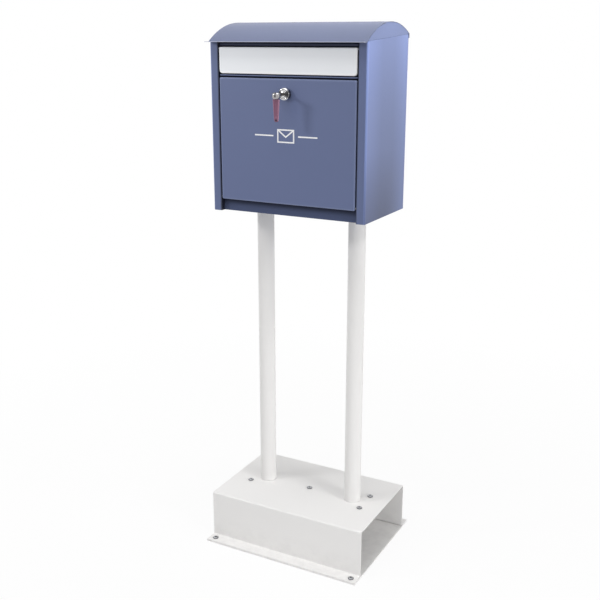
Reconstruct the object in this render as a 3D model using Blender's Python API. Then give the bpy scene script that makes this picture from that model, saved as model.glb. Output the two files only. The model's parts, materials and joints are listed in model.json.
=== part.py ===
"""Sheet-steel post box on a two-post stand.

A bent steel case with a bowed roof carries a top-hung letter flap and a drop-down door with a cam
lock and a folding key.  Two tubes hold the case over a tunnel-shaped base on a flat floor plate.

Metres, +Z up, the front faces -Y, and the origin is the middle of the floor plate's underside.
"""

import math

import bmesh
import bpy
from mathutils import Matrix, Vector

for old in list(bpy.data.objects):
    bpy.data.objects.remove(old, do_unlink=True)

# Fits
GAP = 0.0003  # between pieces that seat on each other
RUN = 0.0002  # round a pin or plug that turns
REVEAL = 0.002  # between the door or flap and the frame round it

# Base: floor plate, tunnel cover, screws
BASE_W = 0.390
TUNNEL_D = 0.2476
TUNNEL_H = 0.116  # top of the tunnel above the ground
FLANGE_W = 0.0308
FLOOR_T = 0.003
COVER_T = 0.002
COVER_BEND = 0.004
FLANGE_SCREW_IN = 0.0135  # from the flange's front edge
FLANGE_SCREW_END = 0.0155  # from the flange's end

# Stand: two tubes on a plate under the tunnel's top
POST_D = 0.0381
POST_WALL = 0.0015
POST_PITCH = 0.228
POST_Y = 0.003
CASE_BOTTOM = 0.8015  # underside of the case above the ground
FOOT_PLATE_T = 0.004
FOOT_SCREW_OUT = 0.0325  # outside the post's centre
FOOT_SCREW_Y = 0.031  # ahead of and behind the post's centre
HEAD_PLATE_D = 0.056
HEAD_PLATE_T = 0.003
HEAD_SCREW_X = 0.030  # either side of each post
PLATE_EDGE = 0.014  # from a screw to the edge of its plate
PLATE_CORNER = 0.006

# Screws
SCREW_R = 0.0025
SCREW_HEAD_R = 0.0065
SCREW_HEAD_H = 0.0030

# Case
CASE_W = 0.360
CASE_D = 0.210
CASE_Y = -0.003  # middle of the case, front to back
SHEET = 0.001
SHEET_BEND = 0.0025
CASE_BEND = 0.0038  # the case's four upright corners
STILE_W = 0.020
STILE_RETURN = 0.012
CASE_H = 0.357  # up to the roof at the front
FLOOR_FLANGE = 0.015

# Roof
ROOF_RISE = 0.0355  # crown above the case's height
ROOF_R = 0.2075
ROOF_CROWN_Y = 0.1165  # crown behind the case front
LIP_OUT = 0.0155  # flat lip ahead of the bow
LIP_DOWN = 0.0033  # lip below the case's height
LIP_BEND = 0.004
ROOF_BACK_DOWN = 0.009

# Front frame and its openings, heights above the case bottom
DOOR_LOW = 0.026
RAIL_SHOW = 0.008  # between the door's top edge and the flap
FLAP_H = 0.053
HEAD_ROOM = 0.014  # between the flap and the case's height; the door takes the rest
PANEL_DEPTH = 0.009
PANEL_BEND = 0.002
DOOR_CORNER = 0.003
FLAP_CORNER = 0.0065  # lower corners; the upper ones are as tight as the fold
RAIL_RECESS = 0.0098
RAIL_BACK = 0.012
RAIL_LAP = 0.010  # how far a rail reaches behind the panel next to it

# Hinges
FLAP_ROD_R = 0.0015
FLAP_AXIS_IN = 0.0042  # behind the front
FLAP_AXIS_DOWN = 0.003  # below the flap's top edge
DOOR_PIN_R = 0.002
DOOR_AXIS_IN = 0.005
DOOR_AXIS_UP = 0.005  # above the door's bottom edge
PIN_HEAD = 0.0015  # length of a pin's head
PIN_PROUD = 0.0008  # how far the head stands out round the pin

# Lock
LOCK_DOWN = 0.030  # below the door's top edge
BEZEL_R = 0.013
BEZEL_OUT = 0.009
BARREL_R = 0.009
PLUG_R = 0.006
NUT_T = 0.0035
NUT_FLATS = 0.024
CAM_SCREW_R = 0.003
CAM_T = 0.002
CAM_L = 0.032
CAM_HUB_R = 0.008
CAM_TIP_R = 0.0055
CAM_CLEAR = 0.0005  # behind the cross rail

# Key
KEY_T = 0.002
KEY_H = 0.0064
KEY_IN = 0.016  # length inside the plug
KEY_HINGE_OUT = 0.038  # key hinge ahead of the door
KEY_HUB_R = 0.0042
KEY_PIN_R = 0.0013
FORK_W = 0.0172
FORK_R = 0.0050
FORK_DOWN = 0.0078
GRIP_L = 0.0445
GRIP_TOP_W = 0.0148
GRIP_LOW_W = 0.0085
GRIP_T = 0.0042

BEND_STEPS = 3
ARC_STEPS = 20

# Places that several pieces share
FRONT = CASE_Y - CASE_D / 2
BACK = CASE_Y + CASE_D / 2
COVER_LOW = FLOOR_T + GAP
FOOT_PLATE_TOP = TUNNEL_H - COVER_T - GAP
HEAD_PLATE_TOP = CASE_BOTTOM - GAP
DOOR_W = CASE_W - 2 * STILE_W - 2 * REVEAL
FLAP_W = DOOR_W - 2 * GAP
RAIL_W = CASE_W - 2 * STILE_W - 2 * GAP
INNER_W = CASE_W - 2 * SHEET - 2 * GAP
FLAP_TOP = CASE_H - HEAD_ROOM
FLAP_LOW = FLAP_TOP - FLAP_H
DOOR_TOP = FLAP_LOW - RAIL_SHOW
DOOR_H = DOOR_TOP - DOOR_LOW
DOOR_AXIS = Vector((0, FRONT + DOOR_AXIS_IN, CASE_BOTTOM + DOOR_LOW + DOOR_AXIS_UP))
FLAP_AXIS = Vector((0, FRONT + FLAP_AXIS_IN, CASE_BOTTOM + FLAP_TOP - FLAP_AXIS_DOWN))
LOCK_AXIS = Vector((0, FRONT, CASE_BOTTOM + DOOR_TOP - LOCK_DOWN))
KEY_AXIS = LOCK_AXIS - Vector((0, KEY_HINGE_OUT, 0))
CAM_IN = RAIL_RECESS + SHEET + CAM_CLEAR  # the cam's front face behind the door's
POST_XS = {"left": -POST_PITCH / 2, "right": POST_PITCH / 2}
FOOT_SCREW_X = POST_PITCH / 2 + FOOT_SCREW_OUT


# Finishes

def finish(name, colour, roughness, metallic):
    """A Principled material of one plain colour."""
    material = bpy.data.materials.new(name)
    material.use_nodes = True
    shader = material.node_tree.nodes["Principled BSDF"]
    shader.inputs["Base Color"].default_value = (*colour, 1)
    shader.inputs["Roughness"].default_value = roughness
    shader.inputs["Metallic"].default_value = metallic
    return material


BLUE = finish("blue_grey_enamel", (0.20, 0.24, 0.39), 0.42, 0)
WHITE = finish("white_enamel", (0.80, 0.80, 0.82), 0.38, 0)
ZINC = finish("zinc_plate", (0.62, 0.63, 0.65), 0.35, 1)
CHROME = finish("bright_chrome", (0.80, 0.81, 0.83), 0.12, 1)
BRASS = finish("key_metal", (0.60, 0.58, 0.55), 0.30, 1)
MAUVE = finish("mauve_plastic", (0.22, 0.07, 0.13), 0.40, 0)


# Building blocks

def groups(*names):
    """Empties that the pieces are parented to, one for each rigid body."""
    made = {}
    for name, place in names:
        made[name] = bpy.data.objects.new(name, None)
        made[name].location = place
        bpy.context.scene.collection.objects.link(made[name])
    return made


BODIES = groups(
    ("stand_and_case", (0, 0, 0)),
    ("flap_hinge", FLAP_AXIS),
    ("door_hinge", DOOR_AXIS),
    ("lock_spindle", LOCK_AXIS),
    ("key_slide", LOCK_AXIS),
    ("key_hinge", KEY_AXIS),
)


def piece(name, mesh, material, body):
    """Makes a bmesh, built in world places, an object whose origin is its body's axis."""
    bmesh.ops.recalc_face_normals(mesh, faces=mesh.faces)
    place = BODIES[body].location if body else Vector((0, 0, 0))
    bmesh.ops.translate(mesh, verts=mesh.verts, vec=-place)
    data = bpy.data.meshes.new(name)
    mesh.to_mesh(data)
    mesh.free()
    data.shade_smooth()
    data.set_sharp_from_angle(angle=math.radians(35))
    made = bpy.data.objects.new(name, data)
    made.parent = BODIES[body] if body else None
    if material:
        data.materials.append(material)
    bpy.context.scene.collection.objects.link(made)
    return made


def add_loft(mesh, rings, tube=False):
    """Quads from ring to ring; the ends are capped, or joined to each other on a tube."""
    rows = [[mesh.verts.new(point) for point in ring] for ring in rings]
    pairs = list(zip(rows, rows[1:]))
    if tube:
        pairs.append((rows[-1], rows[0]))
    else:
        mesh.faces.new(rows[0])
        mesh.faces.new(rows[-1])
    for low, high in pairs:
        for i in range(len(low)):
            mesh.faces.new((low[i - 1], low[i], high[i], high[i - 1]))


def loft(name, rings, material, body, tube=False):
    mesh = bmesh.new()
    add_loft(mesh, rings, tube)
    return piece(name, mesh, material, body)


def along(axis, centre, u, v, w):
    """A point u, v across an axis and w along it, from centre."""
    offset = {"X": (w, u, v), "Y": (u, w, v), "Z": (u, v, w)}[axis]
    return Vector(centre) + Vector(offset)


def turned_rings(axis, centre, profile, sides):
    """Circles of a turned profile: (radius, place along the axis)."""
    turns = [2 * math.pi * k / sides for k in range(sides)]
    return [
        [along(axis, centre, r * math.cos(a), r * math.sin(a), w) for a in turns]
        for r, w in profile
    ]


def drill(target, axis, radius, reach, centres, sides=20):
    """Round holes along an axis, each running reach either side of its centre."""
    mesh = bmesh.new()
    for centre in centres:
        add_loft(mesh, turned_rings(axis, centre, [(radius, -reach), (radius, reach)], sides))
    cut(target, mesh)


def cut_box(target, low, high):
    """A square-cornered cut between two corners."""
    mesh = bmesh.new()
    corners = [(low[0], low[1]), (high[0], low[1]), (high[0], high[1]), (low[0], high[1])]
    add_loft(mesh, [[(x, y, z) for x, y in corners] for z in (low[2], high[2])])
    cut(target, mesh)


def cut(target, mesh):
    cutter = piece(f"{target.name}_cut_{len(target.modifiers)}", mesh, None, None)
    cutter.hide_render = True
    cutter.display_type = "WIRE"
    step = target.modifiers.new(cutter.name, "BOOLEAN")
    step.operation = "DIFFERENCE"
    step.object = cutter


def bend_line(path, offset):
    """The bent line through path, moved offset to its left: path holds (u, v, bend radius)."""
    flat = [Vector((u, v)) for u, v, _ in path]
    runs = [(b - a).normalized() for a, b in zip(flat, flat[1:])]
    line = []
    for i, (_, _, radius) in enumerate(path):
        into = runs[max(i - 1, 0)]
        out = runs[min(i, len(runs) - 1)]
        turn = math.atan2(into.x * out.y - into.y * out.x, into.dot(out))
        left = Vector((-into.y, into.x))
        if not radius:
            middle = (left + Vector((-out.y, out.x))).normalized()
            line.append(flat[i] + middle * offset / math.cos(turn / 2))
            continue
        side = math.copysign(1, turn)
        start = flat[i] - into * radius * math.tan(abs(turn) / 2)
        centre = start + left * side * radius
        arm = left * -side * (radius - side * offset)
        for k in range(BEND_STEPS + 1):
            line.append(centre + Matrix.Rotation(turn * k / BEND_STEPS, 2) @ arm)
    return line


def bent_sheet(name, path, thickness, low, high, place, material, body):
    """A sheet bent along path, its thickness to the right, running across from low to high."""
    outer = bend_line(path, 0)
    inner = bend_line(path, -thickness)
    mesh = bmesh.new()
    loops = [
        [mesh.verts.new(place(p.x, p.y, end(p))) for p in line]
        for end, line in ((low, outer), (low, inner), (high, inner), (high, outer))
    ]
    for i in range(1, len(outer)):
        for near, far in zip(loops, loops[1:] + loops[:1]):
            mesh.faces.new((near[i - 1], near[i], far[i], far[i - 1]))
    mesh.faces.new([loop[0] for loop in loops])
    mesh.faces.new([loop[-1] for loop in loops])
    return piece(name, mesh, material, body)


def in_plan(u, v, w):
    return (u, v, w)


def in_profile(u, v, w):
    return (w, u, v)


def slab(name, outline, low, high, material, body):
    """A flat plate with an outline in the Y-Z plane, from low to high along X."""
    return loft(name, [[(x, y, z) for y, z in outline] for x in (low, high)], material, body)


def rounded_rectangle(width, height, low, high, steps=4):
    """A rectangle's outline, with one radius for its lower corners and one for its upper ones."""
    points = []
    corners = ((1, 1, high), (-1, 1, high), (-1, -1, low), (1, -1, low))
    for quarter, (sx, sy, radius) in enumerate(corners):
        for k in range(steps + 1):
            a = math.pi / 2 * (quarter + k / steps)
            x = sx * (width / 2 - radius) + radius * math.cos(a)
            points.append((x, sy * (height / 2 - radius) + radius * math.sin(a)))
    return points


def pan_rings(width, height, depth, corners, bend):
    """Rings of a tray, from inside its skin out over its rim to its outer face: (points, depth)."""
    low, high = (max(corner, bend) * 1.02 for corner in corners)
    def side(wall):
        turns = [math.pi / 2 * k / BEND_STEPS for k in range(BEND_STEPS + 1)]
        r = bend - wall
        return [(wall, depth)] + [
            (wall + r * (1 - math.cos(a)), wall + r * (1 - math.sin(a))) for a in turns
        ]
    rows = side(SHEET)[::-1] + side(0)
    return [
        (rounded_rectangle(width - 2 * inset, height - 2 * inset, low - inset, high - inset), deep)
        for inset, deep in rows
    ]


def front_pan(name, width, low, height, depth, corners, material, body):
    """A folded panel in the case front: its skin faces -Y, its flanges run back."""
    middle = CASE_BOTTOM + low + height / 2
    rings = pan_rings(width, height, depth, corners, PANEL_BEND)
    return loft(
        name, [[(x, FRONT + y, middle + z) for x, z in ring] for ring, y in rings], material, body
    )


# Screws

def screw(name, place, length):
    """A domed-head screw pointing down, its head seated on place."""
    r, top = SCREW_HEAD_R, SCREW_HEAD_H
    profile = [
        (0.25 * r, top), (0.7 * r, 0.86 * top), (0.95 * r, 0.5 * top), (r, 0), (SCREW_R, 0),
        (SCREW_R, -length),
    ]
    return loft(name, turned_rings("Z", place, profile, 14), ZINC, "stand_and_case")


def screws(name, places, seat, length, *pieces):
    """One screw at each place, and its holes through the pieces under it."""
    for number, (x, y) in enumerate(places, 1):
        screw(f"{name}_{number}", (x, y, seat + GAP), length)
    for target in pieces:
        drill(target, "Z", SCREW_R + GAP, length, [(x, y, seat) for x, y in places], 14)


# Base

def base():
    half_w, half_d = BASE_W / 2, TUNNEL_D / 2 + FLANGE_W
    corners = [(-half_w, -half_d), (half_w, -half_d), (half_w, half_d), (-half_w, half_d)]
    floor = loft(
        "base_plate", [[(x, y, z) for x, y in corners] for z in (0, FLOOR_T)], WHITE, "stand_and_case"
    )
    flange = COVER_LOW + COVER_T
    path = [
        (-half_d, flange, 0), (-TUNNEL_D / 2, flange, COVER_BEND / 2),
        (-TUNNEL_D / 2, TUNNEL_H, COVER_BEND), (TUNNEL_D / 2, TUNNEL_H, COVER_BEND),
        (TUNNEL_D / 2, flange, COVER_BEND / 2), (half_d, flange, 0),
    ]
    cover = bent_sheet(
        "base_cover", path, COVER_T, lambda p: -half_w, lambda p: half_w, in_profile, WHITE,
        "stand_and_case",
    )
    x, y = half_w - FLANGE_SCREW_END, half_d - FLANGE_SCREW_IN
    places = [(-x, -y), (x, -y), (-x, y), (x, y)]
    screws("flange_screw", places, flange, flange - GAP, floor, cover)
    return cover


# Stand

def stand(cover):
    foot_w, foot_d = FOOT_SCREW_X + PLATE_EDGE, FOOT_SCREW_Y + PLATE_EDGE
    outline = rounded_rectangle(2 * foot_w, 2 * foot_d, PLATE_CORNER, PLATE_CORNER)
    levels = (FOOT_PLATE_TOP - FOOT_PLATE_T, FOOT_PLATE_TOP)
    foot = loft(
        "post_foot_plate", [[(x, POST_Y + y, z) for x, y in outline] for z in levels], ZINC,
        "stand_and_case",
    )
    xs = (-FOOT_SCREW_X, FOOT_SCREW_X)
    places = [(x, POST_Y + y) for y in (-FOOT_SCREW_Y, FOOT_SCREW_Y) for x in xs] + [(0, POST_Y)]
    screws("foot_screw", places, TUNNEL_H, COVER_T + FOOT_PLATE_T + 2 * GAP, cover, foot)
    low = FOOT_PLATE_TOP + GAP
    high = HEAD_PLATE_TOP - HEAD_PLATE_T - GAP
    outer, bore = POST_D / 2, POST_D / 2 - POST_WALL
    for side, x in POST_XS.items():
        profile = [(outer, low), (outer, high), (bore, high), (bore, low)]
        rings = turned_rings("Z", (x, POST_Y, 0), profile, 32)
        loft(f"post_{side}", rings, WHITE, "stand_and_case", tube=True)
        head_w = 2 * (HEAD_SCREW_X + PLATE_EDGE)
        outline = rounded_rectangle(head_w, HEAD_PLATE_D, PLATE_CORNER, PLATE_CORNER)
        levels = (HEAD_PLATE_TOP - HEAD_PLATE_T, HEAD_PLATE_TOP)
        rings = [[(x + u, POST_Y + v, z) for u, v in outline] for z in levels]
        loft(f"post_head_plate_{side}", rings, WHITE, "stand_and_case")
    drill(cover, "Z", POST_D / 2 + GAP, 2 * COVER_T, [(x, POST_Y, TUNNEL_H) for x in POST_XS.values()], 32)


# Case

def roof_height(y, inside):
    """Height of the bowed roof's top face, or of a curve inside it, at a place front to back."""
    r = ROOF_R - inside
    run = y - FRONT - ROOF_CROWN_Y
    return CASE_BOTTOM + CASE_H + ROOF_RISE - ROOF_R + math.sqrt(r * r - run * run)


def seam(y):
    """Height of the case's top edge, a straight line that meets the roof's underside at both ends."""
    front, back = (roof_height(end, SHEET + GAP) - GAP for end in (FRONT, BACK))
    return front + (back - front) * (y - FRONT) / CASE_D


def case():
    half, inner = CASE_W / 2, CASE_W / 2 - STILE_W
    lap = FRONT + STILE_RETURN
    path = [(-inner, lap, 0), (-inner, FRONT, SHEET_BEND), (-half, FRONT, CASE_BEND)]
    path.append((-half, BACK, CASE_BEND))
    path += [(-x, y, r) for x, y, r in reversed(path)]
    shell = bent_sheet(
        "case_shell", path, SHEET, lambda p: CASE_BOTTOM, lambda p: seam(p.y), in_plan, BLUE,
        "stand_and_case",
    )
    for axis, radius in ((FLAP_AXIS, FLAP_ROD_R), (DOOR_AXIS, DOOR_PIN_R)):
        returns = [(x, axis.y, axis.z) for x in (-inner, inner)]
        drill(shell, "X", radius + GAP, 3 * SHEET, returns, 16)
    case_floor(lap)
    rails(lap)


def case_floor(lap):
    """The floor tray, and the screws that hold it down on the posts' head plates."""
    front = lap + GAP + SHEET + GAP
    back = BACK - SHEET - GAP
    corner = CASE_BEND - SHEET - GAP
    rings = pan_rings(INNER_W, back - front, FLOOR_FLANGE, (corner, corner), SHEET_BEND)
    middle = (front + back) / 2
    tray = loft(
        "case_floor", [[(x, middle + y, CASE_BOTTOM + z) for x, y in ring] for ring, z in rings], BLUE,
        "stand_and_case",
    )
    places = [(x + u, POST_Y) for x in POST_XS.values() for u in (-HEAD_SCREW_X, HEAD_SCREW_X)]
    plates = [bpy.data.objects[f"post_head_plate_{side}"] for side in POST_XS]
    screws("case_screw", places, CASE_BOTTOM + SHEET, SHEET + HEAD_PLATE_T + GAP, tray, *plates)


def rail(name, recess, low, high, width):
    """An angle across the front: its web stands behind the panels, its top flange runs back."""
    y, top = FRONT + recess, CASE_BOTTOM + high
    path = [(y, CASE_BOTTOM + low, 0), (y, top, SHEET_BEND), (y + RAIL_BACK, top, 0)]
    return bent_sheet(
        name, path, SHEET, lambda p: -width / 2, lambda p: width / 2, in_profile, BLUE, "stand_and_case"
    )


def rails(lap):
    rail("top_rail", RAIL_RECESS, FLAP_TOP - RAIL_LAP / 2, CASE_H - SHEET, RAIL_W)
    rail("cross_rail", RAIL_RECESS, DOOR_TOP - RAIL_LAP, FLAP_LOW + RAIL_LAP, RAIL_W)
    rail("bottom_rail", lap - FRONT + GAP, 0, DOOR_LOW + DOOR_AXIS_UP, INNER_W)


# Roof

def bow(low, high, inside):
    steps = [low + (high - low) * k / ARC_STEPS for k in range(ARC_STEPS + 1)]
    return [(y, roof_height(y, inside)) for y in steps]


def roof():
    drop = ROOF_RISE + LIP_DOWN
    front = FRONT + ROOF_CROWN_Y - math.sqrt(drop * (2 * ROOF_R - drop))
    back = BACK + GAP + SHEET
    arc = bow(front, back, 0)
    path = [(front - LIP_OUT, arc[0][1], 0), (*arc[0], LIP_BEND)]
    path += [(y, z, 0) for y, z in arc[1:-1]]
    path += [(*arc[-1], SHEET_BEND), (back, arc[-1][1] - ROOF_BACK_DOWN, 0)]
    half = CASE_W / 2
    bent_sheet(
        "roof_sheet", path, SHEET, lambda p: -half, lambda p: half, in_profile, BLUE, "stand_and_case"
    )
    near, far = FRONT + CASE_BEND, BACK - CASE_BEND
    outline = bow(near, far, SHEET + GAP) + [(far, seam(far) + GAP), (near, seam(near) + GAP)]
    slab("roof_end_left", outline, -half, SHEET - half, BLUE, "stand_and_case")
    slab("roof_end_right", outline, half - SHEET, half, BLUE, "stand_and_case")


# Letter flap

def letter_flap():
    flap = front_pan(
        "letter_flap", FLAP_W, FLAP_LOW, FLAP_H, 2 * FLAP_AXIS_IN, (FLAP_CORNER, PANEL_BEND), WHITE,
        "flap_hinge",
    )
    drill(flap, "X", FLAP_ROD_R + RUN, CASE_W, [FLAP_AXIS], 16)
    stop = CASE_W / 2 - STILE_W + SHEET + GAP
    tip = stop + PIN_HEAD
    head = FLAP_ROD_R + PIN_PROUD
    profile = [(head, -tip), (head, -stop), (FLAP_ROD_R, -stop), (FLAP_ROD_R, stop), (head, stop)]
    rings = turned_rings("X", FLAP_AXIS, profile + [(head, tip)], 16)
    loft("flap_rod", rings, ZINC, "stand_and_case")


# Door

def door():
    skin = front_pan(
        "door", DOOR_W, DOOR_LOW, DOOR_H, PANEL_DEPTH, (DOOR_CORNER, DOOR_CORNER), BLUE, "door_hinge"
    )
    drill(skin, "X", DOOR_PIN_R + RUN, CASE_W, [DOOR_AXIS], 16)
    drill(skin, "Y", BARREL_R + GAP, 3 * SHEET, [LOCK_AXIS], 32)
    stop = CASE_W / 2 - STILE_W + SHEET + GAP
    inner = DOOR_W / 2 - 3 * SHEET
    head = DOOR_PIN_R + PIN_PROUD
    for side, way in (("left", -1), ("right", 1)):
        profile = [(DOOR_PIN_R, inner), (DOOR_PIN_R, stop), (head, stop), (head, stop + PIN_HEAD)]
        rings = turned_rings("X", DOOR_AXIS, [(r, way * x) for r, x in profile], 16)
        loft(f"door_pivot_{side}", rings, ZINC, "stand_and_case")


# Cam lock: everything turns or seats on LOCK_AXIS, and y runs into the case

def hexagon_rings(flats, bore, low, high):
    """A hexagon with a round bore: its rings run round the outside and back through the bore."""
    sides = 24
    turns = [2 * math.pi * k / sides for k in range(sides)]
    def reach(a):
        return flats / 2 / math.cos((a + math.pi / 6) % (math.pi / 3) - math.pi / 6)
    def ring(radius, y):
        return [along("Y", LOCK_AXIS, radius(a) * math.cos(a), radius(a) * math.sin(a), y) for a in turns]
    return [ring(reach, low), ring(reach, high), ring(lambda a: bore, high), ring(lambda a: bore, low)]


def cam_lock():
    bore = PLUG_R + RUN
    end = CAM_IN - GAP
    collar = 0.7 * BEZEL_R
    profile = [
        (bore, -BEZEL_OUT), (collar, -BEZEL_OUT), (BEZEL_R, -0.45 * BEZEL_OUT), (BEZEL_R, -GAP),
        (BARREL_R, -GAP), (BARREL_R, end), (bore, end),
    ]
    rings = turned_rings("Y", LOCK_AXIS, profile, 32)
    loft("lock_housing", rings, CHROME, "door_hinge", tube=True)
    rings = hexagon_rings(NUT_FLATS, BARREL_R + GAP, SHEET + GAP, SHEET + GAP + NUT_T)
    loft("lock_nut", rings, ZINC, "door_hinge", tube=True)
    lock_spindle(end)


def lock_spindle(end):
    """The plug with its keyway, the cam on its inner end, and the screw that holds the cam."""
    profile = [(PLUG_R, -BEZEL_OUT - SHEET / 2), (PLUG_R, end)]
    plug = loft("lock_plug", turned_rings("Y", LOCK_AXIS, profile, 28), CHROME, "lock_spindle")
    key_front = -BEZEL_OUT - SHEET
    wide, tall = KEY_T / 2 + GAP, KEY_H / 2 + GAP
    low = LOCK_AXIS + Vector((-wide, key_front, -tall))
    cut_box(plug, low, LOCK_AXIS + Vector((wide, KEY_IN - BEZEL_OUT + GAP, tall)))
    hub, tip = Vector((0, 0)), Vector((CAM_L - CAM_TIP_R, 0))
    lean = math.acos((CAM_HUB_R - CAM_TIP_R) / tip.x)
    arcs = [(hub, CAM_HUB_R, lean, 2 * math.pi - lean), (tip, CAM_TIP_R, -lean, lean)]
    outline = [
        c + r * Vector((math.cos(a + (b - a) * k / 12), math.sin(a + (b - a) * k / 12)))
        for c, r, a, b in arcs for k in range(13)
    ]
    levels = (CAM_IN, CAM_IN + CAM_T)
    rings = [[along("Y", LOCK_AXIS, p.x, p.y, y) for p in outline] for y in levels]
    cam = loft("lock_cam", rings, ZINC, "lock_spindle")
    screw_r = CAM_SCREW_R
    drill(cam, "Y", screw_r + GAP, 2 * CAM_T, [LOCK_AXIS + Vector((0, CAM_IN, 0))], 16)
    head = CAM_IN + CAM_T + GAP
    profile = [(screw_r, end + GAP), (screw_r, head), (1.7 * screw_r, head), (1.5 * screw_r, head + CAM_T)]
    loft("cam_screw", turned_rings("Y", LOCK_AXIS, profile, 16), ZINC, "lock_spindle")


# Key: a flat blade whose end carries a grip that folds down on a cross pin

def key():
    tip = LOCK_AXIS.y - BEZEL_OUT + KEY_IN
    rise = math.asin(KEY_H / 2 / KEY_HUB_R)
    sweep = 2 * math.pi - 2 * rise
    turns = [rise + sweep * k / 16 for k in range(17)]
    outline = [(KEY_AXIS.y + KEY_HUB_R * math.cos(a), KEY_AXIS.z + KEY_HUB_R * math.sin(a)) for a in turns]
    nose = KEY_H / 4
    outline += [(tip - nose, KEY_AXIS.z - KEY_H / 2), (tip, KEY_AXIS.z - nose), (tip, KEY_AXIS.z + nose)]
    outline += [(tip - nose, KEY_AXIS.z + KEY_H / 2)]
    blade = slab("key_blade", outline, -KEY_T / 2, KEY_T / 2, BRASS, "key_slide")
    drill(blade, "X", KEY_PIN_R + GAP, KEY_T, [KEY_AXIS], 14)
    profile = [(KEY_PIN_R, -FORK_W / 2), (KEY_PIN_R, FORK_W / 2)]
    loft("key_pin", turned_rings("X", KEY_AXIS, profile, 14), ZINC, "key_slide")
    turns = [math.pi * k / 12 for k in range(13)]
    outline = [(KEY_AXIS.y + FORK_R * math.cos(a), KEY_AXIS.z + FORK_R * math.sin(a)) for a in turns]
    low = KEY_AXIS.z - FORK_DOWN
    outline += [(KEY_AXIS.y - FORK_R, low), (KEY_AXIS.y + FORK_R, low)]
    fork = slab("key_fork", outline, -FORK_W / 2, FORK_W / 2, CHROME, "key_hinge")
    wide = KEY_T / 2 + GAP
    reach = 2 * FORK_R
    floor = KEY_AXIS.z - KEY_HUB_R - GAP
    cut_box(fork, (-wide, KEY_AXIS.y - reach, floor), (wide, KEY_AXIS.y + reach, KEY_AXIS.z + reach))
    drill(fork, "X", KEY_PIN_R + RUN, FORK_W, [KEY_AXIS], 14)
    key_grip(low - GAP)


def key_grip(top):
    """A tapered tongue with a rounded end, hung under the fork."""
    rings = []
    for share, shrink in ((0, 1), (0.3, 1), (0.65, 1), (0.9, 1), (0.97, 0.86), (1, 0.6)):
        width = (GRIP_TOP_W + (GRIP_LOW_W - GRIP_TOP_W) * share) * shrink
        edge = 0.3 * GRIP_T * shrink
        outline = rounded_rectangle(width, GRIP_T * shrink, edge, edge, 3)
        rings.append([(x, KEY_AXIS.y + y, top - GRIP_L * share) for x, y in outline])
    loft("key_grip", rings, MAUVE, "key_hinge")


stand(base())
case()
roof()
letter_flap()
door()
cam_lock()
key()
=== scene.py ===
# %% [markdown]
# # A post box on two posts
#
# The solids of the post box come in as a fixed frame: every piece already stands at its real
# size and place.  This lesson gives them their finishes, makes the pieces that need a finer
# surface than the solids have, and sets a camera at the angle of the reference photo.

# %% Load the frame
import json
import math

import bmesh
import bpy
import numpy as np
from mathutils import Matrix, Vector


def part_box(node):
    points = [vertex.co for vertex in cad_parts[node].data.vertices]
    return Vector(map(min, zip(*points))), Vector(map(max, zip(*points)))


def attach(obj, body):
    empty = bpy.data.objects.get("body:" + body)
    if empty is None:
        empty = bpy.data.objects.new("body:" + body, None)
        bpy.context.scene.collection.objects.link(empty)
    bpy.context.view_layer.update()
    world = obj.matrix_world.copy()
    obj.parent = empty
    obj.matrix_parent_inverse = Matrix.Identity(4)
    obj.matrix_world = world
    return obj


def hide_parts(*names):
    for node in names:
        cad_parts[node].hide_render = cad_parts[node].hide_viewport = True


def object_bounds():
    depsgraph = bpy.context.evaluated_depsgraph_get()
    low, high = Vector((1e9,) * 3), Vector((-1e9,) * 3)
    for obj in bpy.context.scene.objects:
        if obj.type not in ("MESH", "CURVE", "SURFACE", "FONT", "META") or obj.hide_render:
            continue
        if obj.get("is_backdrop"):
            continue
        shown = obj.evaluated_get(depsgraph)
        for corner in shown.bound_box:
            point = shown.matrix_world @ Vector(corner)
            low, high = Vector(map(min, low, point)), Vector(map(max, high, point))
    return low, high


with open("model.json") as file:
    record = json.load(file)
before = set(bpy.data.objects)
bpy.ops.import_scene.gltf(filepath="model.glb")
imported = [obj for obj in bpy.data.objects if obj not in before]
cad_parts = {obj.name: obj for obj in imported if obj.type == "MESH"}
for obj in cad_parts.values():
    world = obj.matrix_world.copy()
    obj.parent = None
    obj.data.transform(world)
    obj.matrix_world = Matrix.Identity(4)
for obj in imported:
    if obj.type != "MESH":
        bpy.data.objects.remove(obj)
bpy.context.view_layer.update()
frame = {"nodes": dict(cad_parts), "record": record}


def node_box(node):
    """Lowest corner, highest corner and middle of a solid, as arrays."""
    low, high = (np.array(corner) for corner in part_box(node))
    return low, high, (low + high) / 2


CASE_LOW, CASE_HIGH, CASE_MIDDLE = node_box("case_shell")
DOOR_LOW, DOOR_HIGH = node_box("door")[:2]
FLAP_LOW, FLAP_HIGH = node_box("letter_flap")[:2]
ROOF_LOW, ROOF_HIGH = node_box("roof_sheet")[:2]
FRONT = CASE_LOW[1]
print("front face at y =", round(FRONT, 4), "m")

# %% [markdown]
# ## Camera
#
# The photo was taken from the right of the box and a little above it.  Fitting its straight edges
# gave the camera's place, its two angles and its focal length, so the camera is set by those real
# values.  No lens shift is used, which keeps every other view centred too.

# %% Camera at the photo's angle
PHOTO_SIDE = 600
SENSOR_MM = 36.0
FOCAL_PX = 891.30
CAMERA_PLACE = (0.8964, -1.7208, 1.1643)
CAMERA_YAW = 28.155
CAMERA_PITCH = 16.449

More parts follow.
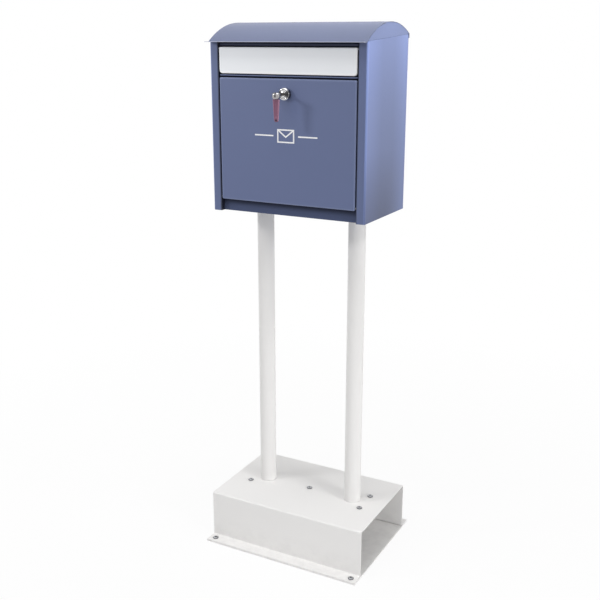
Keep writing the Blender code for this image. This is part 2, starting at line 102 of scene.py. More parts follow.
camera_data = bpy.data.cameras.new("photo_camera")
camera_data.sensor_width = SENSOR_MM
camera_data.lens = SENSOR_MM * FOCAL_PX / PHOTO_SIDE
camera = bpy.data.objects.new("photo_camera", camera_data)
camera.location = CAMERA_PLACE
camera.rotation_euler = (math.radians(90 - CAMERA_PITCH), 0, math.radians(CAMERA_YAW))
bpy.context.scene.collection.objects.link(camera)
bpy.context.scene.camera = camera
bpy.context.scene.view_settings.view_transform = "Standard"
print(f"camera: {camera_data.lens:.2f} mm lens")

# %% [markdown]
# ## Writing materials as sums
#
# A procedural finish is a formula: a base colour, plus a little noise, times a mask.  This small
# class wraps one socket, so that the formula can be written with + - * and /, and every operator
# adds the Math node that it stands for.  Any other node comes from one method, make.


# %% The socket class
class Wire:
    """One output socket of a material; arithmetic on it adds Math nodes to the tree."""

    def __init__(self, tree, socket):
        self.tree = tree
        self.socket = socket

    def put(self, target, value):
        """Links a wire to a socket, or sets the socket to a plain value."""
        if isinstance(value, Wire):
            self.tree.links.new(value.socket, target)
        else:
            target.default_value = value

    def make(self, kind, settings=None, links=None, output=0):
        """A node of any kind: its settings first, then the values or wires of its sockets."""
        node = self.tree.nodes.new(kind)
        for name, value in (settings or {}).items():
            setattr(node, name, value)
        for name, value in (links or {}).items():
            self.put(node.inputs[name], value)
        return Wire(self.tree, node.outputs[output])

    def maths(self, operation, first, second):
        """A Math node on two wires or numbers."""
        return self.make("ShaderNodeMath", {"operation": operation}, {0: first, 1: second})

    def __add__(self, other):
        return self.maths("ADD", self, other)

    def __radd__(self, other):
        return self.maths("ADD", other, self)

    def __sub__(self, other):
        return self.maths("SUBTRACT", self, other)

    def __rsub__(self, other):
        return self.maths("SUBTRACT", other, self)

    def __mul__(self, other):
        return self.maths("MULTIPLY", self, other)

    def __rmul__(self, other):
        return self.maths("MULTIPLY", other, self)

    def __truediv__(self, other):
        return self.maths("DIVIDE", self, other)

    def __rtruediv__(self, other):
        return self.maths("DIVIDE", other, self)

    def __pow__(self, other):
        return self.maths("POWER", self, other)

    def __rpow__(self, other):
        return self.maths("POWER", other, self)

    def clamp(self, low, high):
        """The value held between two others, stretched to run from 0 to 1."""
        links = {"Value": self, "From Min": low, "From Max": high}
        return self.make("ShaderNodeMapRange", {"clamp": True}, links)

    def blend(self, first, second):
        """Two colours mixed by this value."""
        links = {"Factor": self, "A": first, "B": second}
        return self.make("ShaderNodeMix", {"data_type": "RGBA"}, links, "Result")


# %% [markdown]
# ### A new material
#
# On the real object each finish is one layer with its own colour, gloss and grain.  It could be
# painted into an image, but a formula needs no picture and stays sharp from any distance.  Its
# masks use the object's own coordinates, in metres, so they fit the real edges of the piece and
# move with it.


# %% A new material and its object coordinates
def new_material(name, **constants):
    """A Principled material; constants go straight on the shader's own sockets."""
    material = bpy.data.materials.new(name)
    material.use_nodes = True
    tree = material.node_tree
    shader = tree.nodes["Principled BSDF"]
    for socket, value in constants.items():
        shader.inputs[socket.replace("_", " ")].default_value = value
    place = Wire(tree, shader.outputs["BSDF"]).make("ShaderNodeTexCoord", None, None, "Object")
    return material, shader, place


def noise(place, scale, detail=2.0, roughness=0.5):
    """Soft clouds, 0 to 1, whose blobs are about 1 / scale metres across."""
    links = {"Vector": place, "Scale": scale, "Detail": detail, "Roughness": roughness}
    return place.make("ShaderNodeTexNoise", None, links)


def toned(colour, share=1.0):
    """A colour with each part times share, and full alpha."""
    return tuple(part * share for part in colour) + (1.0,)


# %% [markdown]
# ## Enamel
#
# Case and stand are powder-coated steel.  Powder coat melts into a skin that is never quite flat:
# seen close it has a fine orange-peel ripple, and its gloss wanders a little.  Noise gives ripple
# and specks.  Distances from the known edges of a piece give lighter lines along the bends, which
# are painted highlights, and dark joints and recesses, which are painted shade.


# %% Masks from places on the piece
def axis(place, name):
    """One of the coordinates X, Y, Z of a place, in metres."""
    return place.make("ShaderNodeSeparateXYZ", None, {"Vector": place}, name)


def distance(value, middle=0.0):
    """How far a value lies from middle, on either side."""
    return value.maths("ABSOLUTE", value - middle, 0.0)


def edge(value, low, high, width):
    """1 at either end of low..high, falling to 0 within width of it."""
    return ((value - low).clamp(width, 0.0) + (high - value).clamp(width, 0.0)).clamp(0.0, 1.0)


# %% [markdown]
# ### Powder coat
#
# The coat is one colour that wanders in soft clouds, with darker specks and the orange peel as a
# bump.  One mask blends it to a paler colour for painted highlights and sheen, another to a dark
# colour, mostly painted shade and, low on the stand, dirt.  All enamels share this function, so
# they differ only in their numbers and their masks.

# %% Powder coat
PEEL_SCALE = 620.0
PEEL_DEPTH = 0.00006
PEEL_STRENGTH = 0.35
CLOUD_SCALE = 7.0
CLOUD_GLOSS = 0.10
SPECK_SCALE = 140.0
SPECK_SHARE = 0.35
SPECK_GLOSS = 0.12
# the dark colour of painted shade, and of the dirt low on the stand
DIRT_AND_SHADE_COLOUR = (0.012, 0.014, 0.026, 1.0)


def powder_coat(name, colour, gloss, wander, painted_light=None, painted_light_colour=None, dirt_and_shade=None, shine=0.5):
    """Colour times (1 - wander (1 - cloud)); painted highlight where painted_light is 1, dark where
    dirt_and_shade is 1.
    """
    material, shader, place = new_material(name, IOR=1.5, Specular_IOR_Level=shine)
    cloud = noise(place, CLOUD_SCALE, 3.0)
    specks = noise(place, SPECK_SCALE, 4.0, 0.7).clamp(0.60, 0.78)
    peel = noise(place, PEEL_SCALE, 1.0) + 0.6 * noise(place, PEEL_SCALE * 0.35, 1.0)
    base = cloud.blend(toned(colour, 1 - wander), toned(colour))
    base = (SPECK_SHARE * specks).blend(base, toned(colour, 1 - 2.5 * wander))
    if painted_light:
        base = painted_light(place).blend(base, toned(painted_light_colour))
    if dirt_and_shade:
        base = dirt_and_shade(place).blend(base, DIRT_AND_SHADE_COLOUR)
    rough = gloss + CLOUD_GLOSS * (cloud - 0.5) + SPECK_GLOSS * specks
    bump = {"Height": peel, "Distance": PEEL_DEPTH, "Strength": PEEL_STRENGTH}
    place.put(shader.inputs["Base Color"], base)
    place.put(shader.inputs["Roughness"], rough)
    place.put(shader.inputs["Normal"], place.make("ShaderNodeBump", None, bump))
    return material


# %% [markdown]
# ### Painted highlights
#
# The bends are painted paler, as highlights: the edges of the door and the flap and the lip of
# the roof, and a painted sheen grows towards the front and back of the case's sides.  The masks
# could be painted by hand, but as distances from an edge they follow the real size of the piece.

# %% Masks of painted highlight
BEND_LINE = 0.0045
SIDE_X = CASE_HIGH[0]
# shares of the painted sheen on the case's sides, in the middle and towards the ends
SHEEN_MIDDLE = 0.10
SHEEN_ENDS = 0.55


def door_bend_highlight(place):
    """Painted highlights: lighter lines along the bends of the door's four edges."""
    across = edge(axis(place, "X"), DOOR_LOW[0], DOOR_HIGH[0], BEND_LINE)
    up = edge(axis(place, "Z"), DOOR_LOW[2], DOOR_HIGH[2], BEND_LINE)
    return (across + up).clamp(0.0, 1.3)


def side_face(place):
    """1 on the outer faces of the case's sides, 0 from 4 mm further in."""
    return distance(axis(place, "X")).clamp(SIDE_X - 0.004, SIDE_X - 0.001)


def case_side_sheen(place):
    """Painted sheen near the sides' front and back bends, and a painted highlight on the front
    bend.
    """
    across = distance(axis(place, "X"))
    behind = axis(place, "Y") - FRONT
    far = distance(axis(place, "Y"), CASE_MIDDLE[1]).clamp(0.030, 0.112)
    side = side_face(place) * (SHEEN_MIDDLE + SHEEN_ENDS * far)
    front_bend_highlight = across.clamp(SIDE_X - 0.0034, SIDE_X - 0.0014) * behind.clamp(0.0060, 0.0030)
    return (side + front_bend_highlight).clamp(0.0, 1.0)


def flap_edge_highlight(place):
    """Painted highlights: whiter lines along the bends of the flap's sides and lower edge."""
    across = edge(axis(place, "X"), FLAP_LOW[0], FLAP_HIGH[0], BEND_LINE)
    low = (axis(place, "Z") - FLAP_LOW[2]).clamp(1.3 * BEND_LINE, 0.0015)
    return (across + low).clamp(0.0, 1.0)


def lip_highlight(place):
    """Painted highlight: the lip is paler towards its edge."""
    return (axis(place, "Y") - ROOF_LOW[1]).clamp(0.0150, 0.0020)


# %% [markdown]
# ### Painted shade, and dirt near the ground
#
# Shade is painted dark behind the front face, on the recessed rails and low on the case's sides,
# and faint dirt is splashed close to the ground.  Depth behind the front and height above the
# lower edge give these masks, which is simpler than a simulated run of water and easy to follow.

# %% Masks of painted shade and dirt
JOINT_DARK = 0.85
RETURN_DEPTH = 0.015
STILE_EDGE = 0.1605
EDGE_DARK = 0.8
# painted shade low on the case's sides, darkest at the bottom
LOW_SIDE_SHADE = 0.46
LOW_SIDE_SHADE_HEIGHT = 0.14
GROUND_DARK = 0.10
GROUND_HEIGHT = 0.060


def joint_painted_shade(place):
    """Painted shade on what lies more than 1 mm behind the front face."""
    return JOINT_DARK * (axis(place, "Y") - FRONT).clamp(0.0012, 0.0036)


def case_painted_shade(place):
    """Painted shade on the inner returns beside door and flap, on their edge, and low on the sides.
    """
    across = distance(axis(place, "X"))
    behind = axis(place, "Y") - FRONT
    inside = across.clamp(SIDE_X - 0.003, SIDE_X - 0.005)
    returns = joint_painted_shade(place) * inside * behind.clamp(RETURN_DEPTH, RETURN_DEPTH - 0.003)
    near_edge = across.clamp(STILE_EDGE + 0.0024, STILE_EDGE + 0.0010)
    rounding = EDGE_DARK * near_edge * behind.clamp(0.012, 0.008)
    front_half = axis(place, "Y").clamp(CASE_HIGH[1], CASE_MIDDLE[1])
    low = (axis(place, "Z") - CASE_LOW[2]).clamp(LOW_SIDE_SHADE_HEIGHT, 0.0)
    # painted shade, darker towards the bottom of the sides
    low_shade = LOW_SIDE_SHADE * side_face(place) * front_half * low
    return (returns + rounding + low_shade).clamp(0.0, 1.0)


def rail_painted_shade(place):
    """Painted shade: the recessed rails are dark, most of all close under the door."""
    return 0.40 + 0.55 * (axis(place, "Z") - CASE_LOW[2]).clamp(0.010, 0.025)


def ground_dirt(place):
    """Faint splashes low on the stand, in blotches that thin out upwards."""
    blotch = noise(place, 38.0, 4.0, 0.65).clamp(0.42, 0.72)
    return GROUND_DARK * blotch * axis(place, "Z").clamp(GROUND_HEIGHT, 0.0)


# %% [markdown]
# ### The enamels
#
# One blue is sprayed on the whole case.  The roof, the rails and the upper bead each get their
# own copy of the coat with painted shade: a darker, greyer blue on the roof, dark rails, and a
# near-black bead deep in its slot.  The door, the case, the flap and the roof also carry painted
# highlights, and the flap's white is a brighter, bluer copy of the stand's white, which paints
# light on it.

# %% The enamels
BLUE_COLOUR = (0.113, 0.145, 0.276)
# painted shade: a darker, greyer copy of the case blue for the roof
ROOF_SHADED_COLOUR = (0.088, 0.105, 0.176)
# painted highlight on the bends of the door
DOOR_BEND_HIGHLIGHT = (0.185, 0.225, 0.385)
# painted sheen on the case's sides
SIDE_SHEEN_COLOUR = (0.190, 0.248, 0.500)
# painted highlight on the roof's lip
LIP_HIGHLIGHT_COLOUR = (0.400, 0.425, 0.530)
SHADED_COLOUR = (0.050, 0.060, 0.110)
WARM_WHITE = (0.855, 0.845, 0.835)
# painted light: a brighter, bluer copy of the stand's white for the flap
FLAP_PAINTED_LIGHT_WHITE = (0.862, 0.882, 0.915)
# painted highlight on the flap's bends
FLAP_EDGE_HIGHLIGHT = (0.97, 0.97, 0.98)

BLUE = powder_coat("blue_enamel", BLUE_COLOUR, 0.40, 0.04)
# painted highlights on the door's bends, painted shade in its joints
DOOR_LIT_AND_SHADED_BLUE = powder_coat("door_enamel_painted_light", BLUE_COLOUR, 0.40, 0.04, door_bend_highlight, DOOR_BEND_HIGHLIGHT, joint_painted_shade)
# painted sheen and highlight on the sides, painted shade in the returns and low on the sides
CASE_LIT_AND_SHADED_BLUE = powder_coat(
    "case_enamel_painted_light", BLUE_COLOUR, 0.40, 0.05, case_side_sheen, SIDE_SHEEN_COLOUR, case_painted_shade, shine=0.4
)
# painted shade on the roof, and a painted highlight on its lip
ROOF_LIT_AND_SHADED_BLUE = powder_coat("roof_enamel_painted_light", ROOF_SHADED_COLOUR, 0.40, 0.05, lip_highlight, LIP_HIGHLIGHT_COLOUR, shine=0.4)
# painted shade on the recessed rails
RAIL_SHADED_BLUE = powder_coat("rail_enamel_shaded", BLUE_COLOUR, 0.60, 0.05, dirt_and_shade=rail_painted_shade, shine=0.15)
# painted shade on the upper bead under the roof's lip
BEAD_SHADED_BLUE = powder_coat("bead_enamel_shaded", SHADED_COLOUR, 0.50, 0.05, shine=0.3)
WHITE = powder_coat("white_enamel", WARM_WHITE, 0.45, 0.015, dirt_and_shade=ground_dirt)
# painted highlights on the flap's bends, painted shade in its joints
FLAP_LIT_AND_SHADED_WHITE = powder_coat(
    "flap_enamel_painted_light", FLAP_PAINTED_LIGHT_WHITE, 0.40, 0.015, flap_edge_highlight, FLAP_EDGE_HIGHLIGHT, joint_painted_shade
)
print("enamels:", BLUE.name, WHITE.name, "and six copies for single pieces")

# %% [markdown]
# ## Bare metals and plastic
#
# The screws, pins and lock parts are plated.  Plating is a mirror with fine scratches, so
# stretched noise roughens it a little.  A picture of scratches would do too, but it would have to
# be laid on every small part.

# %% Plated metal
# dark colour for the darkened, painted-shade and painted-reflection parts of the metals
DARK_TARNISH_AND_SHADE = (0.020, 0.020, 0.024, 1.0)
SCRATCH_SCALE = (90.0, 900.0, 900.0)
BLOTCH_SCALE = 420.0


def plated(name, colour, gloss, scratch, dirt_and_shade=None):
    """Metal whose roughness is gloss plus scratch times stretched noise, dark where dirt_and_shade
    is 1.
    """
    material, shader, place = new_material(name, Metallic=1.0)
    stretched = {"Vector": place, "Scale": SCRATCH_SCALE}
    lines = noise(place.make("ShaderNodeMapping", None, stretched), 1.0, 2.0)
    blotch = noise(place, BLOTCH_SCALE, 3.0).clamp(0.45, 0.75)
    base = lines.blend(toned(colour, 0.84), toned(colour))
    base = (0.3 * blotch).blend(base, toned(colour, 0.6))
    if dirt_and_shade:
        base = dirt_and_shade(place).blend(base, DARK_TARNISH_AND_SHADE)
    place.put(shader.inputs["Base Color"], base)
    place.put(shader.inputs["Roughness"], gloss + scratch * lines + 0.1 * blotch)
    return material


# %% [markdown]
# ### Painted reflection and shade on the lock and the key
#
# The lock's face is turned on a lathe, and its fine rings would throw the light into two opposite
# sectors; here the two dark sectors are a painted reflection, and its grooves are darkened.  The
# key's hub is painted dark as shade inside the head's slot.  The grip is a moulded plastic with a
# painted highlight round its rim and painted shade in a small hole near its tip.  Radius and angle
# about the lock's axis give the mask of its face; the others follow from the outlines of the key
# and the grip.

# %% Masks on the lock and the key
LOCK_CENTRE = node_box("lock_housing")[2]
KEY_LOW, KEY_HIGH, KEY_MIDDLE = node_box("key_blade")
GRIP_LOW, GRIP_HIGH, GRIP_MIDDLE = node_box("key_grip")
GRIP_HOLE_UP = 0.0034
GRIP_TAPER = 0.42
LOCK_BORE = 0.0062
GROOVE_SOFT = 0.0002
# darkness of the painted reflection's two dark sectors
SECTOR_DARK = 0.85


def band(value, low, high, soft):
    """1 between low and high, falling to 0 within soft outside them."""
    return (value - low).clamp(-soft, 0.0) * (high - value).clamp(-soft, 0.0)


def lock_painted_reflection(place):
    """Dark grooves and painted-reflection sectors: (x^2 - z^2) / (x^2 + z^2) is 1 at the face's
    sides.
    """
    x = axis(place, "X") - LOCK_CENTRE[0]
    z = axis(place, "Z") - LOCK_CENTRE[2]
    square = x * x + z * z
    radius = square**0.5
    ring = band(radius, 0.0089, 0.0097, GROOVE_SOFT)
    gap = band(radius, LOCK_BORE - 0.0003, LOCK_BORE + 0.0003, GROOVE_SOFT)
    # painted reflection: two dark sectors at the sides of the face
    sector = ((x * x - z * z) / (square + 1e-9)).clamp(-0.15, 0.45)
    return (ring + gap + SECTOR_DARK * sector).clamp(0.0, 1.05)


def key_hub_shade(place):
    """Painted shade on the key's hub, which sits in the head's slot."""
    return 0.9 * (axis(place, "Y") - KEY_LOW[1]).clamp(0.0075, 0.0060)


def grip_rim_highlight(place):
    """Painted highlight on the rim of the grip, more than 70 per cent out from its middle."""
    down = (GRIP_HIGH[2] - axis(place, "Z")) / (GRIP_HIGH[2] - GRIP_LOW[2])
    half = (GRIP_HIGH[0] - GRIP_LOW[0]) / 2
    across = distance(axis(place, "X"), GRIP_MIDDLE[0])
    return (across / (half * (1 - GRIP_TAPER * down))).clamp(0.70, 0.95)


def grip_hole_shade(place):
    """Painted shade in the small hole near the grip's tip."""
    x = axis(place, "X") - GRIP_MIDDLE[0]
    z = axis(place, "Z") - (GRIP_LOW[2] + GRIP_HOLE_UP)
    return ((x * x + z * z) ** 0.5).clamp(0.0021, 0.0016)


def point_darkening(place):
    """Darkening that a piece carries as an attribute of its own points; none on other pieces."""
    return place.make("ShaderNodeAttribute", {"attribute_name": "cross_and_rim_shadow"}, None, "Fac")


# %% [markdown]
# ### Metals, plastic and print
#
# Zinc is dull, the lock's chrome is bright, and the key's head has lost most of its polish.  The
# plastic of the grip and the print on the door are coats without metal, so they come from the
# same function as the enamel.

# %% Metals, plastic and print
MAUVE_COLOUR = (0.200, 0.075, 0.138)
# painted highlight on the grip's rim
MAUVE_RIM_HIGHLIGHT = (0.36, 0.19, 0.27)

# painted shadow under the screw heads, and a darkened cross
ZINC_WITH_RIM_SHADOW = plated("zinc_plate", (0.50, 0.51, 0.53), 0.20, 0.22, point_darkening)
# painted reflection on the lock's face
CHROME_PAINTED_REFLECTION = plated("lock_chrome_painted_reflection", (0.80, 0.80, 0.81), 0.06, 0.10, lock_painted_reflection)
HEAD_CHROME = plated("head_chrome", (0.42, 0.41, 0.42), 0.16, 0.14)
# painted shade on the key's hub
KEY_METAL_SHADED_HUB = plated("key_metal", (0.50, 0.48, 0.45), 0.22, 0.25, key_hub_shade)
# painted highlight on the rim, painted shade in the hole
MAUVE_LIT_AND_SHADED = powder_coat("mauve_plastic", MAUVE_COLOUR, 0.35, 0.10, grip_rim_highlight, MAUVE_RIM_HIGHLIGHT, grip_hole_shade)
PRINT = powder_coat("white_print", (0.90, 0.90, 0.91), 0.5, 0.03)
print("materials:", len(bpy.data.materials))

# %% [markdown]
# ### Finishes on the solids
#
# The record names a material for every solid, as a parts list does.  Most solids take the finish
# of that name.  The flap, the door, the case and the rails take the copy that has their own painted
# light and shade; one finish for all would need a mask for every piece in it.

# %% Finishes on the solids
FINISH = {
    "blue_enamel": BLUE, "white_enamel": WHITE, "zinc_plate": ZINC_WITH_RIM_SHADOW, "bright_chrome": CHROME_PAINTED_REFLECTION,
    "key_metal": KEY_METAL_SHADED_HUB, "mauve_plastic": MAUVE_LIT_AND_SHADED,
}
SPECIAL = {
    "letter_flap": FLAP_LIT_AND_SHADED_WHITE, "door": DOOR_LIT_AND_SHADED_BLUE, "case_shell": CASE_LIT_AND_SHADED_BLUE,
    "top_rail": RAIL_SHADED_BLUE, "cross_rail": RAIL_SHADED_BLUE, "bottom_rail": RAIL_SHADED_BLUE,
}
for part in frame["record"]["subparts"]:
    node = part["node"]
    frame["nodes"][node].data.materials.clear()
    frame["nodes"][node].data.materials.append(SPECIAL.get(node, FINISH[part["material_slot"]]))

# %% [markdown]
# ## From a grid of points to a piece
#
# Each new piece is one array of points: rows run along the piece and columns run round it.  The
# columns always close into rings, and a row whose points all coincide closes an end.  A mesh can
# also be modelled by hand or with modifiers; a formula is chosen because it keeps the real sizes.


# %% Grid to mesh
def grid_piece(name, points, material, body, nodes=(), sharp=35.0):
    """Quads between neighbouring points[row, column]; coinciding points merge, which shuts ends."""
    rows, columns = points.shape[:2]
    number = np.arange(rows * columns).reshape(rows, columns)
    ring = np.hstack([number, number[:, :1]])
    corners = [ring[:-1, :-1], ring[:-1, 1:], ring[1:, 1:], ring[1:, :-1]]
    quads = np.stack(corners, -1).reshape(-1, 4)
    mesh = bpy.data.meshes.new(name)
    mesh.from_pydata(points.reshape(-1, 3).tolist(), [], quads.tolist())
    shell = bmesh.new()
    shell.from_mesh(mesh)
    bmesh.ops.remove_doubles(shell, verts=shell.verts, dist=1e-7)
    bmesh.ops.recalc_face_normals(shell, faces=shell.faces)
    shell.to_mesh(mesh)
    shell.free()
    mesh.shade_smooth()
    mesh.set_sharp_from_angle(angle=math.radians(sharp))
    mesh.materials.append(material)
    piece = bpy.data.objects.new(name, mesh)
    bpy.context.scene.collection.objects.link(piece)
    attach(piece, body)
    if nodes:
        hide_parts(*nodes)
    print(f"{name}: {len(mesh.polygons)} faces")
    return piece


def turned(spindle, centre, profile, columns=96):
    """A profile of (radius r, place w) turned round Y or Z: r cos a, r sin a and w at each a."""
    a = np.linspace(0, 2 * np.pi, columns, endpoint=False)
    r, w = np.array(profile, float).T
    u = r[:, None] * np.cos(a)
    v = r[:, None] * np.sin(a)
    w = np.broadcast_to(w[:, None], u.shape)
    order = {"Y": (u, w, v), "Z": (u, v, w)}[spindle]
    return np.stack(order, -1) + np.array(centre, float)


# %% [markdown]
# ## Posts and their welds
#
# The posts are plain round tube.  The solids have 32 flat sides, so the tubes are turned again
# with 128, and each gets the ring of weld that holds its head plate, with the small ripples that
# a hand-fed rod leaves.

# %% Tubes and weld rings
TUBE_SIDES = 128
TUBE_WALL = 0.0015
TUBE_EDGE = 0.0004
BEAD_R = 0.0019
BEAD_RIPPLES = 46
BEAD_RIPPLE = 0.09


def weld_points(centre, radius, top):
    """A torus whose tube has the radius BEAD_R (1 + BEAD_RIPPLE sin(BEAD_RIPPLES a)) at angle a."""
    along = np.linspace(0, 2 * np.pi, 12 * BEAD_RIPPLES + 1)[:, None]
    across = np.linspace(0, 2 * np.pi, 14, endpoint=False)
    bead = BEAD_R * (1 + BEAD_RIPPLE * np.sin(BEAD_RIPPLES * along))
    reach = radius + 0.4 * BEAD_R + bead * np.cos(across)
    height = top - 0.3 * BEAD_R + bead * np.sin(across)
    x = centre[0] + reach * np.cos(along)
    y = centre[1] + reach * np.sin(along)
    return np.stack([x, y, height], -1)


for side in ("left", "right"):
    post = f"post_{side}"
    low, high, middle = node_box(post)
    outer = (high[0] - low[0]) / 2
    bore = outer - TUBE_WALL
    bottom, top = low[2], high[2]
    profile = [
        (outer, bottom), (outer, top - TUBE_EDGE), (outer - TUBE_EDGE, top), (bore, top),
        (bore, bottom), (outer, bottom),
    ]
    tube = turned("Z", (middle[0], middle[1], 0), profile, TUBE_SIDES)
    grid_piece(f"tube_{side}", tube, WHITE, "frame", [post])
    grid_piece(f"weld_{side}", weld_points(middle, outer, top), WHITE, "frame")

# %% [markdown]
# ## Roof
#
# The roof is one sheet: a flat lip, a bend, a long bow and a short turned-down back edge.  The
# solid's bow has twenty flats, which a gloss shows up, so the sheet is laid again along a smooth
# path: straight, arc, arc, arc, straight, each meeting the next without a corner.

# %% Path of the bow
ROOF_R = 0.2075
ROOF_CROWN_Y = 0.0085
LIP_DROP = 0.0388
LIP_BEND = 0.004
BACK_BEND = 0.0025
BACK_EDGE = 0.009


def fillet(corner, way_in, way_out, radius, steps):
    """An arc of the given radius that meets two lines, way_in and way_out, through corner."""
    a, b = (math.atan2(way[1], way[0]) for way in (way_in, way_out))
    reach = radius * math.tan(abs(b - a) / 2)
    side = math.copysign(1.0, b - a)
    start = np.array(corner) - reach * np.array(way_in)
    centre = start + side * radius * np.array([-way_in[1], way_in[0]])
    turn = np.linspace(a, b, steps)
    return centre + radius * side * np.stack([np.sin(turn), -np.cos(turn)], -1)


roof_axis = np.array([ROOF_CROWN_Y, ROOF_HIGH[2] - ROOF_R])
lip_angle = math.asin(math.sqrt(LIP_DROP * (2 * ROOF_R - LIP_DROP)) / ROOF_R)
back_angle = math.asin((ROOF_HIGH[1] - ROOF_CROWN_Y) / ROOF_R)
lip_corner = roof_axis + ROOF_R * np.array([-math.sin(lip_angle), math.cos(lip_angle)])
back_corner = roof_axis + ROOF_R * np.array([math.sin(back_angle), math.cos(back_angle)])
lip_way = (math.cos(lip_angle), math.sin(lip_angle))
back_way = (math.cos(back_angle), -math.sin(back_angle))
bow = np.linspace(-lip_angle + 0.008, back_angle - 0.010, 120)
roof_path = np.vstack([
    [(ROOF_LOW[1], lip_corner[1])],
    fillet(lip_corner, (1.0, 0.0), lip_way, LIP_BEND, 9),
    roof_axis + ROOF_R * np.stack([np.sin(bow), np.cos(bow)], -1),
    fillet(back_corner, back_way, (0.0, -1.0), BACK_BEND, 12),
    [(ROOF_HIGH[1], back_corner[1] - BACK_EDGE)],
])
bow_degrees = math.degrees(lip_angle + back_angle)
print(f"bow: {bow_degrees:.1f} degrees of a {ROOF_R * 1000:.1f} mm radius")

# %% [markdown]
# ### The sheet along the path
#
# A real roof sheet is rolled and pressed from a flat blank, so it has one thickness all over.
# Setting the path in by that thickness, square to its direction, gives the underside; a solidify
# modifier would do the same, but the ends would not stay exactly on the solid's sides.

# %% Bowed sheet
ROOF_SHEET = 0.001


def at_x(x, line):
    """The points (x, y, z) of a line in (y, z)."""
    return np.column_stack([np.full(len(line), x), line])


def point_row(row):
    """A row whose points all lie in the middle of another row, which shuts an end."""
    return np.broadcast_to(row.mean(0), row.shape)[None]


def sheet_points(path, left, right, thick):
    """Rings of four points: path and path + thick * normal, each at x = left and x = right."""
    way = np.gradient(path, axis=0)
    way /= np.linalg.norm(way, axis=1)[:, None]
    under = path + thick * np.stack([way[:, 1], -way[:, 0]], -1)
    corners = [at_x(left, path), at_x(right, path), at_x(right, under), at_x(left, under)]
    rows = np.stack(corners, 1)
    return np.concatenate([point_row(rows[0]), rows, point_row(rows[-1])])


sheet = sheet_points(roof_path, ROOF_LOW[0], ROOF_HIGH[0], ROOF_SHEET)
grid_piece("roof_bow", sheet, ROOF_LIT_AND_SHADED_BLUE, "frame", ["roof_sheet"], 40.0)

# %% [markdown]
# ## Beads on the rails
#
# Above the flap and between flap and door the frame shows a narrow strip with a dark joint on
# either side.  It is a bead that stiffens the rail.  A rounded bar, carried across the opening,
# stands in front of each rail and leaves real slots above and below, so the joints are dark
# because little light gets in.

# %% Two rounded bars
BEAD_NOSE = 0.0006
BEAD_SEAT = 0.0004


def bar_points(x_low, x_high, y_front, y_back, z_low, z_high):
    """A bar along X; its (y, z) section is a rectangle whose front corners have BEAD_NOSE."""
    turn = np.linspace(0, np.pi / 2, 6)
    from_side, from_edge = BEAD_NOSE * (1 - np.sin(turn)), BEAD_NOSE * (1 - np.cos(turn))
    lower = np.stack([y_front + from_side, z_low + from_edge], -1)
    upper = np.stack([y_front + from_edge, z_high - from_side], -1)
    section = np.vstack([[(y_back, z_low)], lower, upper, [(y_back, z_high)]])
    rows = np.stack([at_x(x_low, section), at_x(x_high, section)])
    return np.concatenate([point_row(rows[0]), rows, point_row(rows[1])])


rail_back = node_box("cross_rail")[0][1] + BEAD_SEAT
inner = DOOR_HIGH[0] - BEAD_SEAT
for name, front, z_low, z_high, material in (
    ("middle_bead", FRONT + 0.0030, FLAP_LOW[2] - 0.0047, FLAP_LOW[2] - 0.0021, BLUE),
    ("upper_bead", FRONT + 0.0040, FLAP_HIGH[2] + 0.0026, FLAP_HIGH[2] + 0.0072, BEAD_SHADED_BLUE),
):
    points = bar_points(-inner, inner, front, rail_back, z_low, z_high)
    grid_piece(name, points, material, "frame")

# %% [markdown]
# ## Screws
#
# Pan-head screws hold the stand together.  What tells the eye that it is a screw is the crossed
# recess, so the crown is a dome of rings and the recess is sunk into it by a formula.  Each screw
# is turned to another angle, as they are when driven by hand.

# %% Shape of a pan head
HEAD_H = 0.003
SHANK_R = 0.0025
CROSS_HALF = 0.00075
CROSS_REACH = 0.0034
CROSS_DEPTH = 0.0019
CROSS_SOFT = 0.00035


def dome_height(q):
    """Height of the dome over its seat at the share q of the head's radius."""
    return HEAD_H * (0.3 + 0.7 * np.sqrt(1 - 0.98 * q**2))


def screw_points(node, turn):
    """The dome z = seat + dome_height(q) over rim and shank; the cross sinks it where the smaller
    of |x|, |y| is under CROSS_HALF and the larger is under CROSS_REACH."""
    low, high, middle = node_box(node)
    radius = (high[0] - low[0]) / 2
    seat = high[2] - HEAD_H
    q = np.linspace(0, 1, 26)
    crown = np.stack([radius * q, seat + dome_height(q)], -1)
    rim = [(radius, seat + 0.1 * HEAD_H), (0.97 * radius, seat)]
    shank = [(SHANK_R, seat), (SHANK_R, low[2]), (0, low[2])]
    points = turned("Z", (0, 0, 0), np.vstack([crown, rim, shank]))
    dome = points[: len(q)]
    x = dome[..., 0] * math.cos(turn) - dome[..., 1] * math.sin(turn)
    y = dome[..., 0] * math.sin(turn) + dome[..., 1] * math.cos(turn)
    near = np.minimum(abs(x), abs(y))
    far = np.maximum(abs(x), abs(y))
    inside = np.clip((CROSS_HALF - near) / CROSS_SOFT + 0.5, 0, 1)
    inside = inside * np.clip((CROSS_REACH - far) / CROSS_SOFT + 0.5, 0, 1)
    dome[..., 2] -= CROSS_DEPTH * inside * (1 - 0.5 * far / CROSS_REACH)
    return points + np.array([middle[0], middle[1], 0])


# %% [markdown]
# ### Dark crosses and shadows in the screws
#
# The cross of every head is darkened, and a painted shadow lies under its rim; that is what makes
# a small screw readable from a distance.  The share of darkening is known at each point from its
# depth under the dome, so it is stored on the points; a mask in the material would need every
# screw's place.

# %% Driven screws
SCREW_TURN = 0.9
CROSS_DARK_DEPTH = 0.0002
CROSS_DARK_SOFT = 0.0004
CROSS_SHARE = 0.6
RIM_SHARE = 0.86
RIM_SOFT = 0.08


